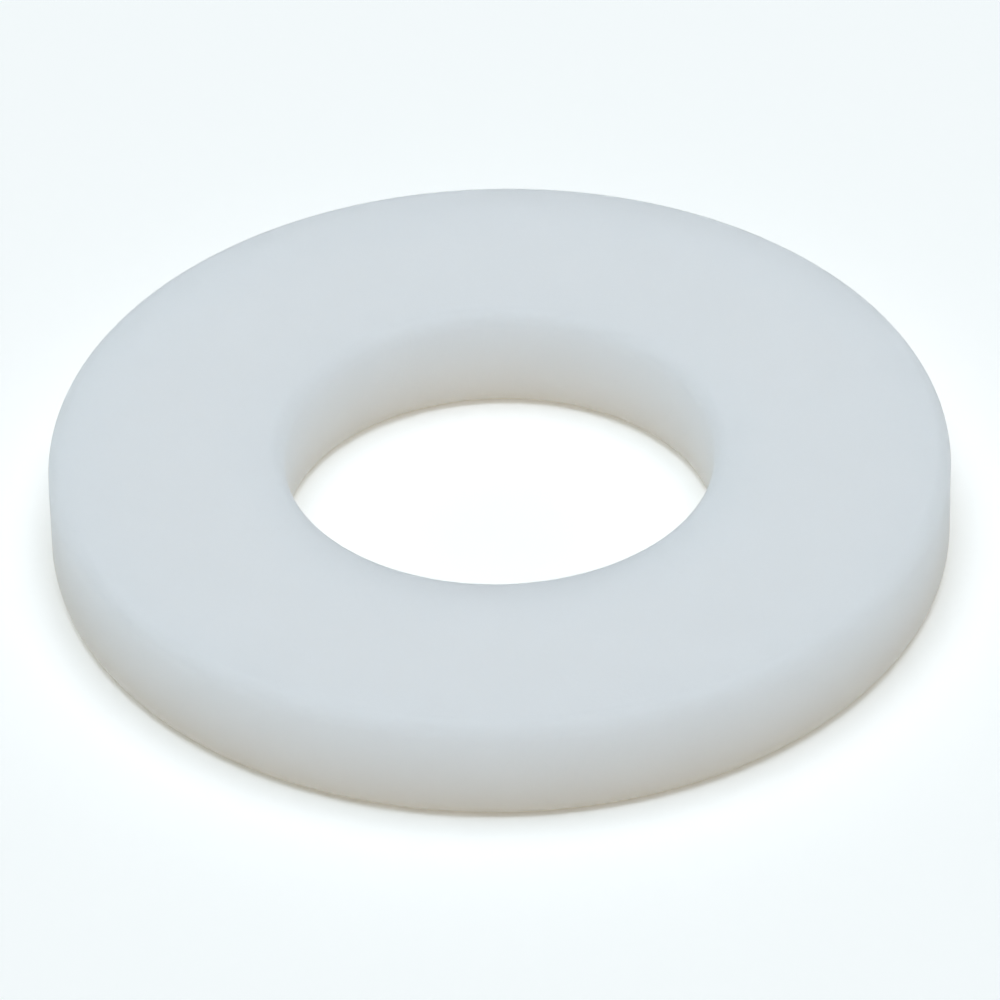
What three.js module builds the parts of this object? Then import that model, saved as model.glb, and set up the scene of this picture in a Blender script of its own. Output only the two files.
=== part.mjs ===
// Flat washer: one moulded nylon ring that spreads the load of a 1/2 inch or M12 bolt.
// Millimetres, +Z up. The origin is the centre of the hole on the underside, and Z is the hole's axis.

import * as THREE from 'three';

const OUTER_DIAMETER = 27.0;
const BORE_DIAMETER = 12.85;
const THICKNESS = 3.35;
const EDGE_RADIUS = 0.5;

const STEPS_ROUND = 96;
const STEPS_PER_EDGE = 4;

const outerRadius = OUTER_DIAMETER / 2;
const boreRadius = BORE_DIAMETER / 2;
const right = Math.PI / 2;

const nylon = new THREE.MeshStandardMaterial({
  name: 'natural_nylon',
  color: 0xd5dbe3,
  roughness: 0.5,
  metalness: 0.0,
});

// One quarter-circle corner of the section, turning anticlockwise from startAngle.
function roundedEdge(centreRadius, centreHeight, startAngle) {
  const points = [];
  for (let step = 0; step <= STEPS_PER_EDGE; step += 1) {
    const angle = startAngle + (right * step) / STEPS_PER_EDGE;
    const radius = centreRadius + EDGE_RADIUS * Math.cos(angle);
    const height = centreHeight + EDGE_RADIUS * Math.sin(angle);
    points.push(new THREE.Vector2(radius, height));
  }
  return points;
}

// The section of the ring: a rectangle between bore and rim with its four corners rounded.
function ringSection() {
  const low = EDGE_RADIUS;
  const high = THICKNESS - EDGE_RADIUS;
  const rim = outerRadius - EDGE_RADIUS;
  const bore = boreRadius + EDGE_RADIUS;
  const section = [
    ...roundedEdge(rim, low, -right),
    ...roundedEdge(rim, high, 0),
    ...roundedEdge(bore, high, right),
    ...roundedEdge(bore, low, 2 * right),
  ];
  section.push(section[0].clone());
  return section;
}

function makeWasher() {
  const geometry = new THREE.LatheGeometry(ringSection(), STEPS_ROUND);
  const washer = new THREE.Mesh(geometry, nylon);
  washer.name = 'washer';
  washer.rotation.x = right;
  return washer;
}

const flatWasher = new THREE.Group();
flatWasher.add(makeWasher());

export default flatWasher;
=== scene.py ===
"""Flat washer: the moulded nylon ring's final surface and material, and the studio around it.

Everything is in metres, in the part's own frame: +Z along the hole's axis, the underside at height zero.
"""

import math

import bpy
from mathutils import Matrix, Vector


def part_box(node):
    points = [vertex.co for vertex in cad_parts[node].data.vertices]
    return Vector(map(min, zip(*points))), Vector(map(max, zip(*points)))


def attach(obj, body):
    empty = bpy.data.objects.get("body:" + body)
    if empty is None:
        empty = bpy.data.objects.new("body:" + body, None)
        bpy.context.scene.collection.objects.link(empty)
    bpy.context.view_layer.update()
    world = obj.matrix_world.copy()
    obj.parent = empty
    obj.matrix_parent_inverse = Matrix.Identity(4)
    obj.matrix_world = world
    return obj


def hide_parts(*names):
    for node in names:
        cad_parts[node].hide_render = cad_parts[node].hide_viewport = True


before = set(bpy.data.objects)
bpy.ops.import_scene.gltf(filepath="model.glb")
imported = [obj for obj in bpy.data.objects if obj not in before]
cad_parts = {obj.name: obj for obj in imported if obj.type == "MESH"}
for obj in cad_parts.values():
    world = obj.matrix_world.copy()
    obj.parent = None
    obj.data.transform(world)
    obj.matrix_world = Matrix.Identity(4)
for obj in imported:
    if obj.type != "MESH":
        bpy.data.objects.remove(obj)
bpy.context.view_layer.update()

MM = 0.001
FULL_TURN = 2 * math.pi

# How finely the ring is drawn.
STEPS_ROUND = 480
STEPS_PER_EDGE = 12
STEPS_UP_WALL = 20
STEPS_ACROSS_FACE = 48

# The gate's witness: a shallow recess moulded into the rim, and in it the stub of the snapped-off runner.
GATE_ANGLE = math.radians(112)
GATE_WIDTH = 2.2 * MM
GATE_HEIGHT = 1.2 * MM
GATE_DEPTH = 0.18 * MM
GATE_SOFTNESS = 0.20 * MM
GATE_STUB_WIDTH = 1.2 * MM
GATE_STUB_HEIGHT = 0.6 * MM
GATE_STUB_RISE = 0.13 * MM

# Ejector pins press faint discs into the underside.
EJECTOR_COUNT = 3
EJECTOR_RADIUS = 1.25 * MM
EJECTOR_DEPTH = 0.04 * MM
EJECTOR_SOFTNESS = 0.20 * MM
EJECTOR_FIRST_ANGLE = math.radians(20)

# The thick middle of each face shrinks a little as the plastic cools.
SINK_DEPTH = 0.02 * MM

# Corners of the CAD ring this close to its highest point lie on its top face.
TOP_TOLERANCE = 0.001 * MM


# ---- Sizes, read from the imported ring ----

def ring_sizes():
    """Outer radius, bore radius, thickness and edge radius of the CAD ring."""
    low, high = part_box("washer")
    thickness = high.z - low.z
    corners = [vertex.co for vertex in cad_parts["washer"].data.vertices]
    outer = max(corner.xy.length for corner in corners)
    bore = min(corner.xy.length for corner in corners)
    top_corners = [corner for corner in corners if high.z - corner.z < TOP_TOLERANCE]
    edge = outer - max(corner.xy.length for corner in top_corners)
    return outer, bore, thickness, edge


OUTER, BORE, THICKNESS, EDGE = ring_sizes()
MIDDLE = (OUTER + BORE) / 2


# ---- The ring's surface ----

def smooth_step(value):
    """0 below 0, 1 above 1 and a smooth ramp between."""
    value = min(max(value, 0.0), 1.0)
    return value * value * (3 - 2 * value)


def soft_rectangle(across, up, width, height, softness):
    """1 inside a rectangle of that size, falling to 0 over its soft border."""
    inside = min(width / 2 - abs(across), height / 2 - abs(up))
    return smooth_step(inside / softness + 0.5)


def rounded_edge(centre_radius, centre_height, start):
    """A quarter circle of the section, from the angle start onwards, with both ends."""
    points = []
    for step in range(STEPS_PER_EDGE + 1):
        angle = start + math.pi / 2 * step / STEPS_PER_EDGE
        radius = centre_radius + EDGE * math.cos(angle)
        height = centre_height + EDGE * math.sin(angle)
        points.append((radius, height))
    return points


def straight(start, end, steps):
    """The points between start and end, without them."""
    points = []
    for step in range(1, steps):
        share = step / steps
        radius = start[0] + (end[0] - start[0]) * share
        height = start[1] + (end[1] - start[1]) * share
        points.append((radius, height))
    return points


def ring_section():
    """The closed section of the ring, anticlockwise, as (radius, height) points."""
    low, high = EDGE, THICKNESS - EDGE
    rim, bore = OUTER - EDGE, BORE + EDGE
    corners = [
        rounded_edge(rim, low, -math.pi / 2),
        rounded_edge(rim, high, 0),
        rounded_edge(bore, high, math.pi / 2),
        rounded_edge(bore, low, math.pi),
    ]
    steps = [STEPS_UP_WALL, STEPS_ACROSS_FACE, STEPS_UP_WALL, STEPS_ACROSS_FACE]
    section = []
    for index, corner in enumerate(corners):
        following = corners[(index + 1) % len(corners)]
        section += corner
        section += straight(corner[-1], following[0], steps[index])
    return section


def gate_inset(radius, height, angle):
    """How far the gate's witness pulls a point of the rim towards the axis."""
    if radius < OUTER - EDGE:
        return 0.0
    turn = (angle - GATE_ANGLE + math.pi) % FULL_TURN - math.pi
    across = turn * OUTER
    up = height - THICKNESS / 2
    pocket = soft_rectangle(across, up, GATE_WIDTH, GATE_HEIGHT, GATE_SOFTNESS)
    stub = soft_rectangle(across, up, GATE_STUB_WIDTH, GATE_STUB_HEIGHT, GATE_SOFTNESS)
    return GATE_DEPTH * pocket - GATE_STUB_RISE * stub


def face_inset(radius, height, angle):
    """How far shrinkage and the ejector pins press a point of a face into the ring."""
    inner, outer = BORE + EDGE, OUTER - EDGE
    if not inner <= radius <= outer:
        return 0.0
    across = (radius - inner) / (outer - inner)
    inset = SINK_DEPTH * math.sin(math.pi * across) ** 2
    if height > THICKNESS / 2:
        return inset
    for pin in range(EJECTOR_COUNT):
        pin_angle = EJECTOR_FIRST_ANGLE + FULL_TURN * pin / EJECTOR_COUNT
        pin_centre = Vector((math.cos(pin_angle), math.sin(pin_angle))) * MIDDLE
        point = Vector((math.cos(angle), math.sin(angle))) * radius
        inside = EJECTOR_RADIUS - (point - pin_centre).length
        inset += EJECTOR_DEPTH * smooth_step(inside / EJECTOR_SOFTNESS + 0.5)
    return inset


def surface_point(radius, height, angle):
    """The section's point turned to angle, with the gate's, pins' and shrinkage's insets applied."""
    inset_radius = radius - gate_inset(radius, height, angle)
    rise = face_inset(radius, height, angle)
    if height > THICKNESS / 2:
        rise = -rise
    return (inset_radius * math.cos(angle), inset_radius * math.sin(angle), height + rise)


def make_ring():
    section = ring_section()
    rows = len(section)
    points = []
    faces = []
    for turn in range(STEPS_ROUND):
        angle = FULL_TURN * turn / STEPS_ROUND
        points += [surface_point(radius, height, angle) for radius, height in section]
        here = turn * rows
        there = (turn + 1) % STEPS_ROUND * rows
        for row in range(rows):
            after = (row + 1) % rows
            faces.append((here + row, there + row, there + after, here + after))
    mesh = bpy.data.meshes.new("moulded_ring")
    mesh.from_pydata(points, [], faces)
    mesh.shade_smooth()
    ring = bpy.data.objects.new("moulded_ring", mesh)
    bpy.context.scene.collection.objects.link(ring)
    return ring


# ---- Natural nylon ----

NYLON_COLOUR = (0.928, 0.928, 0.93)
NYLON_MOTTLE = (0.908, 0.912, 0.914)
NYLON_IOR = 1.53
NYLON_SHEEN = 0.2

# How far light travels inside the plastic, the same for red, green and blue.
LIGHT_REACH = 11.0 * MM
LIGHT_REACH_BY_COLOUR = (1.0, 1.0, 1.0)

# The part of the noise's range that is stretched over a whole change of colour or gloss.
NOISE_SPAN = (0.3, 0.7)
CLOUD_SIZE = 6 * MM
CLOUD_DETAIL = 3
RUB_SIZE = 2.5 * MM
RUB_DETAIL = 4
RUB_ROUGHNESS = (0.74, 0.84)
GRAIN_SIZE = 0.12 * MM
GRAIN_DETAIL = 2
GRAIN_DEPTH = 0.01 * MM
GRAIN_STRENGTH = 0.25


def new_node(tree, kind, **settings):
    node = tree.nodes.new(kind)
    for name, value in settings.items():
        setattr(node, name, value)
    return node


def noise(tree, place, size, detail):
    """Noise over the object's own coordinates, its features about size metres wide."""
    node = new_node(tree, "ShaderNodeTexNoise")
    node.inputs["Scale"].default_value = 1 / size
    node.inputs["Detail"].default_value = detail
    tree.links.new(place, node.inputs["Vector"])
    return node.outputs["Fac"]


def map_range(tree, value, low, high, to_low, to_high):
    node = new_node(tree, "ShaderNodeMapRange", interpolation_type="SMOOTHSTEP")
    node.inputs["From Min"].default_value = low
    node.inputs["From Max"].default_value = high
    node.inputs["To Min"].default_value = to_low
    node.inputs["To Max"].default_value = to_high
    tree.links.new(value, node.inputs["Value"])
    return node.outputs["Result"]


def mix_colour(tree, factor, first, second):
    """The colour first where factor is 0, second where it is 1."""
    node = new_node(tree, "ShaderNodeMixRGB")
    tree.links.new(factor, node.inputs["Fac"])
    node.inputs["Color1"].default_value = (*first, 1)
    node.inputs["Color2"].default_value = (*second, 1)
    return node.outputs["Color"]


def nylon_material():
    """Satin moulded nylon: light goes deep into it, and its skin has a fine even grain."""
    material = bpy.data.materials.new("natural_nylon")
    material.use_nodes = True
    tree = material.node_tree
    shader = tree.nodes["Principled BSDF"]
    place = new_node(tree, "ShaderNodeTexCoord").outputs["Object"]

    cloud = map_range(tree, noise(tree, place, CLOUD_SIZE, CLOUD_DETAIL), *NOISE_SPAN, 0, 1)
    tone = mix_colour(tree, cloud, NYLON_COLOUR, NYLON_MOTTLE)
    tree.links.new(tone, shader.inputs["Base Color"])

    rub = map_range(tree, noise(tree, place, RUB_SIZE, RUB_DETAIL), *NOISE_SPAN, *RUB_ROUGHNESS)
    tree.links.new(rub, shader.inputs["Roughness"])

    grain = new_node(tree, "ShaderNodeBump")
    grain.inputs["Strength"].default_value = GRAIN_STRENGTH
    grain.inputs["Distance"].default_value = GRAIN_DEPTH
    tree.links.new(noise(tree, place, GRAIN_SIZE, GRAIN_DETAIL), grain.inputs["Height"])
    tree.links.new(grain.outputs["Normal"], shader.inputs["Normal"])

    shader.inputs["IOR"].default_value = NYLON_IOR
    shader.inputs["Specular IOR Level"].default_value = NYLON_SHEEN
    shader.inputs["Subsurface Weight"].default_value = 1.0
    shader.inputs["Subsurface Scale"].default_value = LIGHT_REACH
    shader.inputs["Subsurface Radius"].default_value = LIGHT_REACH_BY_COLOUR
    return material


# ---- Studio ----

# The floor glows faintly and warmly, which keeps it pale and lights the lower part of the ring's walls.
FLOOR_SIZE = 3.0
FLOOR_COLOUR = (0.97, 0.95, 0.92)
FLOOR_GLOW_COLOUR = (1.0, 0.90, 0.70)
FLOOR_GLOW = 0.16

# Each light is a round patch of the room, fading in between the two cosines of its edge.
SOFTBOX_COLOUR = (0.843, 0.920, 1.0)
SOFTBOX_STRENGTH = 4.46
SOFTBOX_EDGE = (0.84, 0.95)

FILL_COLOUR = (0.20, 0.78, 1.0)
LEFT_STRENGTH = 0.31
RIGHT_STRENGTH = 0.20
FILL_ELEVATION = math.radians(30)
FILL_EDGE = (0.88, 0.97)

# The horizon's edge holds the two heights of view, as sines, between which it fades out.
HORIZON_COLOUR = (0.93, 0.97, 0.98)
HORIZON_STRENGTH = 0.95
HORIZON_EDGE = (0.006, 0.02)


def make_floor():
    half = FLOOR_SIZE / 2
    mesh = bpy.data.meshes.new("floor")
    corners = [(-half, -half, 0), (half, -half, 0), (half, half, 0), (-half, half, 0)]
    mesh.from_pydata(corners, [], [(0, 1, 2, 3)])
    floor = bpy.data.objects.new("floor", mesh)
    bpy.context.scene.collection.objects.link(floor)
    material = bpy.data.materials.new("pale_floor")
    material.use_nodes = True
    shader = material.node_tree.nodes["Principled BSDF"]
    shader.inputs["Base Color"].default_value = (*FLOOR_COLOUR, 1)
    shader.inputs["Roughness"].default_value = 1.0
    shader.inputs["Specular IOR Level"].default_value = 0.0
    shader.inputs["Emission Color"].default_value = (*FLOOR_GLOW_COLOUR, 1)
    shader.inputs["Emission Strength"].default_value = FLOOR_GLOW
    mesh.materials.append(material)


def light_patch(tree, direction, towards, edge, colour, strength):
    """A round soft-edged light filling the directions near towards. edge holds two cosines."""
    closeness = new_node(tree, "ShaderNodeVectorMath", operation="DOT_PRODUCT")
    tree.links.new(direction, closeness.inputs[0])
    closeness.inputs[1].default_value = towards
    return glow(tree, map_range(tree, closeness.outputs["Value"], *edge, 0, strength), colour)


def glow(tree, strength, colour):
    node = new_node(tree, "ShaderNodeBackground")
    node.inputs["Color"].default_value = (*colour, 1)
    tree.links.new(strength, node.inputs["Strength"])
    return node.outputs["Background"]


def add_lights(tree, lights):
    total = lights[0]
    for light in lights[1:]:
        node = new_node(tree, "ShaderNodeAddShader")
        tree.links.new(total, node.inputs[0])
        tree.links.new(light, node.inputs[1])
        total = node.outputs["Shader"]
    return total


def make_room():
    """A dark room: a softbox overhead, weak cool fills at both sides, pale from the horizon down."""
    world = bpy.data.worlds.new("room")
    world.use_nodes = True
    tree = world.node_tree
    direction = new_node(tree, "ShaderNodeTexCoord").outputs["Generated"]
    split = new_node(tree, "ShaderNodeSeparateXYZ")
    tree.links.new(direction, split.inputs["Vector"])
    horizon = map_range(tree, split.outputs["Z"], *HORIZON_EDGE, HORIZON_STRENGTH, 0)

    overhead = (0, 0, 1)
    left = (-math.cos(FILL_ELEVATION), 0, math.sin(FILL_ELEVATION))
    right = (math.cos(FILL_ELEVATION), 0, math.sin(FILL_ELEVATION))
    total = add_lights(tree, [
        light_patch(tree, direction, overhead, SOFTBOX_EDGE, SOFTBOX_COLOUR, SOFTBOX_STRENGTH),
        light_patch(tree, direction, left, FILL_EDGE, FILL_COLOUR, LEFT_STRENGTH),
        light_patch(tree, direction, right, FILL_EDGE, FILL_COLOUR, RIGHT_STRENGTH),
        glow(tree, horizon, HORIZON_COLOUR),
    ])
    tree.links.new(total, tree.nodes["World Output"].inputs["Surface"])
    bpy.context.scene.world = world


# ---- Camera ----

VIEW_ELEVATION = math.radians(37.56)
VIEW_ROLL = math.radians(-1.1)
VIEW_DISTANCE = 19.5 * OUTER
LENS = 315.8
AIM_BELOW_CENTRE = 0.024 * OUTER
CLIP_END = 10.0


def make_camera():
    """A long lens looking down on the ring from the front, its horizon a little tilted."""
    back = Vector((0, -math.cos(VIEW_ELEVATION), math.sin(VIEW_ELEVATION)))
    turn = (-back).to_track_quat("-Z", "Y").to_matrix().to_4x4()
    turn = turn @ Matrix.Rotation(VIEW_ROLL, 4, "Z")
    up = turn.col[1].to_3d()
    target = Vector((0, 0, THICKNESS / 2)) - up * AIM_BELOW_CENTRE
    lens = bpy.data.cameras.new("camera")
    lens.lens = LENS
    lens.clip_start = OUTER
    lens.clip_end = CLIP_END
    camera = bpy.data.objects.new("camera", lens)
    camera.matrix_world = Matrix.Translation(target + back * VIEW_DISTANCE) @ turn
    bpy.context.scene.collection.objects.link(camera)
    bpy.context.scene.camera = camera


# ---- The scene ----

ring = make_ring()
ring.data.materials.append(nylon_material())
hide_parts("washer")
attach(ring, "root")

make_floor()
make_room()
make_camera()
bpy.context.scene.view_settings.view_transform = "Standard"
